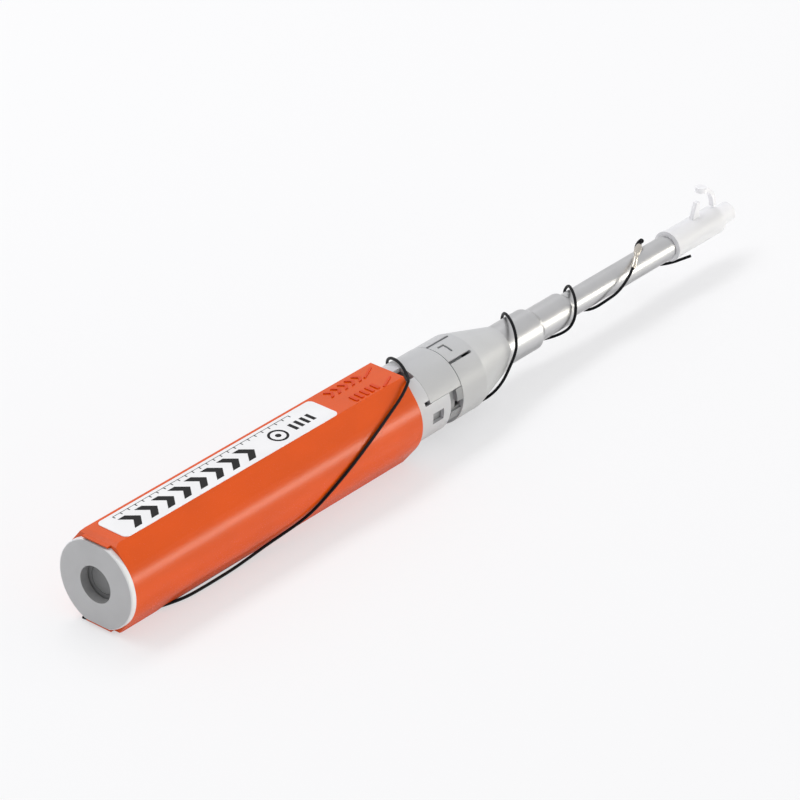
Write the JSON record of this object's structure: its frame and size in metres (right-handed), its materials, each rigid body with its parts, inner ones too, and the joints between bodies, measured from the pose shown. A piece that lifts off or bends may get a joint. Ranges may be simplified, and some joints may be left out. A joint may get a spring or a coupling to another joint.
{
  "type": "fibre connector cleaning pen",
  "caption": "Push-type cleaning pen for optical connectors: flat-sided grip, cone, stepped tube and clear guide, with thread reels, rack, gear and helical cam inside.",
  "frame": {"origin": "middle of the grip's lower flat, on which the pen lies", "axes": "+X along the pen from the end cap to the tip, +Z out of the upper, labelled flat, +Y across"},
  "size_m": [0.2023, 0.0199, 0.0202],
  "materials": {
    "orange_shell": "smooth moulded",
    "grey_cap": "fine matt",
    "label": "printed film",
    "cord": "braided",
    "crimp": "pressed",
    "dark_frame": "as moulded",
    "steel_pin": "drawn",
    "spring_steel": "drawn",
    "pale_case": "as moulded",
    "grey_cover": "fine matt",
    "grey_ring": "as moulded",
    "satin_tube": "satin",
    "thread": "fine fibre",
    "acetal": "as moulded",
    "brown_reel": "as moulded",
    "clear_guide": "clear"
  },
  "bodies": {
    "grip": {"outer_sleeve": "orange_shell", "end_cap": "grey_cap", "body_label": "label", "lanyard_cord": "cord", "cord_crimp": "crimp", "cord_knot": "cord"},
    "slide_frame": {"slide_frame": "dark_frame", "feed_rack": "dark_frame", "cam_follower": "steel_pin", "return_spring": "spring_steel"},
    "inner_unit": {"lower_case": "pale_case", "upper_cover": "grey_cover", "nose_cone": "grey_cover", "neck_ring": "grey_ring", "stepped_tube": "satin_tube", "take_up_axle": "steel_pin", "supply_axle": "steel_pin", "pawl_pin": "steel_pin", "thread_run": "thread"},
    "drive_gear": {"drive_gear": "acetal"},
    "take_up_reel": {"take_up_reel": "brown_reel", "ratchet_wheel": "brown_reel", "take_up_thread": "thread"},
    "supply_reel": {"supply_reel": "brown_reel", "supply_thread": "thread"},
    "ratchet_pawl": {"ratchet_pawl": "acetal"},
    "cam_shaft": {"cam_shaft": "acetal", "tip_spring": "spring_steel"},
    "cleaning_tip": {"cleaning_tip": "acetal", "tip_thread": "thread"},
    "guide_cap": {"guide_cap": "clear_guide"},
    "flip_lid": {"flip_lid": "clear_guide"}
  },
  "joints": [
    {"name": "lock_turn", "type": "hinge", "parent": "grip", "child": "slide_frame", "pos_m": [-0.0432, 0, 0.01], "axis": [1, 0, 0], "range_deg": [-24, 0]},
    {"name": "push_stroke", "type": "slide", "parent": "slide_frame", "child": "inner_unit", "axis": [1, 0, 0], "range_m": [-0.01, 0], "stiffness_N_per_m": 300, "springref_m": 0.01, "deforming": ["return_spring"]},
    {"name": "gear_turn", "type": "hinge", "parent": "inner_unit", "child": "drive_gear", "pos_m": [0.0048, 0, 0.01], "axis": [0, 0.9781, 0.2079], "range_deg": [-159.3, 0]},
    {"name": "take_up_turn", "type": "hinge", "parent": "inner_unit", "child": "take_up_reel", "pos_m": [0.0048, 0, 0.01], "axis": [0, 0.9781, 0.2079], "range_deg": [-159.3, 0]},
    {"name": "supply_turn", "type": "hinge", "parent": "inner_unit", "child": "supply_reel", "pos_m": [0.0383, 0, 0.01], "axis": [0, 0.9781, 0.2079], "range_deg": [-100.5, 0]},
    {"name": "pawl_flex", "type": "hinge", "parent": "inner_unit", "child": "ratchet_pawl", "pos_m": [0.0114, -0.00071, 0.01333], "axis": [0, 0.9781, 0.2079], "range_deg": [0, 8], "stiffness_Nm_per_rad": 0.0001, "springref_deg": -5.73},
    {"name": "shaft_turn", "type": "hinge", "parent": "inner_unit", "child": "cam_shaft", "pos_m": [0.0503, 0, 0.01], "axis": [1, 0, 0], "range_deg": [-180.1, 0]},
    {"name": "tip_press", "type": "slide", "parent": "cam_shaft", "child": "cleaning_tip", "axis": [-1, 0, 0], "range_m": [0, 0.0008], "stiffness_N_per_m": 500, "springref_m": -0.0004, "deforming": ["tip_spring"]},
    {"name": "cap_pull", "type": "slide", "parent": "inner_unit", "child": "guide_cap", "axis": [1, 0, 0], "range_m": [0, 0.018]},
    {"name": "lid_hinge", "type": "hinge", "parent": "guide_cap", "child": "flip_lid", "pos_m": [0.1531, 0, 0.0141], "axis": [0, 1, 0], "range_deg": [0, 110]}
  ],
  "couplings": [
    {"joint": "gear_turn", "follows": "push_stroke", "rad_per_m": 277.78},
    {"joint": "take_up_turn", "follows": "push_stroke", "rad_per_m": 277.78},
    {"joint": "supply_turn", "follows": "push_stroke", "rad_per_m": 174.9},
    {"joint": "shaft_turn", "follows": "push_stroke", "rad_per_m": 314.16}
  ]
}
